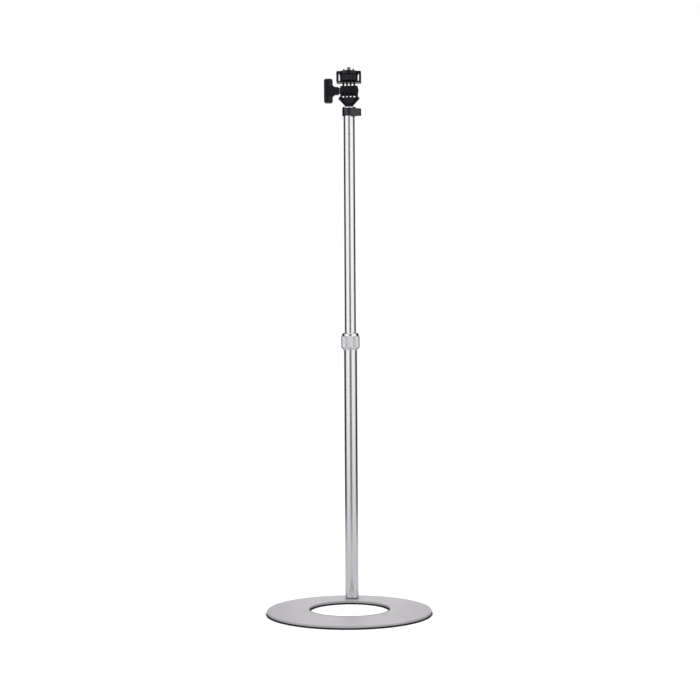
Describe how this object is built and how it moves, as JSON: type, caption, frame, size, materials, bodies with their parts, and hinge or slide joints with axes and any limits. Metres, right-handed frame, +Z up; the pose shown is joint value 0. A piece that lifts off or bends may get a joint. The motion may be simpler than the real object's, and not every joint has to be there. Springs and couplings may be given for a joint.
{
  "type": "desk light stand",
  "caption": "Free-standing telescopic stand for a small desk light: weighted ring base, twist-lock mast, cable clip, and a panning and tilting head with a screw platform.",
  "frame": {"origin": "centre of the base ring, on the surface that the stand rests on", "axes": "+Z up along the mast, +Y from the ring's centre towards the mast, +X to the right as the stand is seen from the front"},
  "size_m": [0.264, 0.264, 0.8979],
  "materials": {
    "silver_paint": "satin silver powder coat with a faint grain",
    "black_foam": "matt black closed-cell foam",
    "black_rubber": "matt black rubber",
    "black_steel": "black oxide",
    "turned_alloy": "turned, bright",
    "knurled_alloy": "fine diamond knurl between bright turned ends",
    "bright_tube": "polished, clear anodised",
    "nylon": "natural nylon",
    "screw_steel": "plain bright steel",
    "brass": "turned",
    "black_plastic": "satin moulded black with a fine grain"
  },
  "bodies": {
    "base": {"base_plate": "silver_paint", "base_pad": "black_foam", "foot_gasket": "black_rubber", "foot_screw": "black_steel", "foot_plug": "turned_alloy", "lower_tube": "bright_tube", "lock_ferrule": "turned_alloy", "lock_collet": "nylon"},
    "lock": {"lock_nut": "knurled_alloy"},
    "mast": {"upper_tube": "bright_tube", "guide_bush": "nylon", "tube_cap": "turned_alloy", "head_stud": "screw_steel"},
    "clip": {"cable_clip": "black_plastic"},
    "head": {"head_base": "black_plastic", "head_insert": "brass", "hinge_bolt": "black_steel", "hinge_washer": "screw_steel"},
    "knob": {"tee_knob": "black_plastic", "knob_insert": "brass"},
    "cradle": {"cradle": "black_plastic", "platform_pad": "black_rubber"},
    "wheel": {"thumb_wheel": "black_plastic", "camera_screw": "screw_steel"}
  },
  "joints": [
    {"name": "lock_twist", "type": "hinge", "parent": "base", "child": "lock", "pos_m": [0, 0.108, 0.4367], "axis": [0, 0, 1], "range_deg": [0, 180]},
    {"name": "mast_slide", "type": "slide", "parent": "base", "child": "mast", "axis": [0, 0, 1], "range_m": [-0.345, 0]},
    {"name": "clip_swivel", "type": "hinge", "parent": "mast", "child": "clip", "pos_m": [0, 0.108, 0.8222], "axis": [0, 0, 1], "continuous": true},
    {"name": "head_pan", "type": "hinge", "parent": "mast", "child": "head", "pos_m": [0, 0.108, 0.831], "axis": [0, 0, 1], "continuous": true},
    {"name": "cradle_tilt", "type": "hinge", "parent": "head", "child": "cradle", "pos_m": [0, 0.108, 0.8579], "axis": [1, 0, 0], "range_deg": [-75, 75]},
    {"name": "knob_turn", "type": "hinge", "parent": "head", "child": "knob", "pos_m": [0, 0.108, 0.8579], "axis": [1, 0, 0], "continuous": true},
    {"name": "wheel_turn", "type": "hinge", "parent": "cradle", "child": "wheel", "pos_m": [0, 0.108, 0.8789], "axis": [0, 0, 1], "continuous": true}
  ]
}
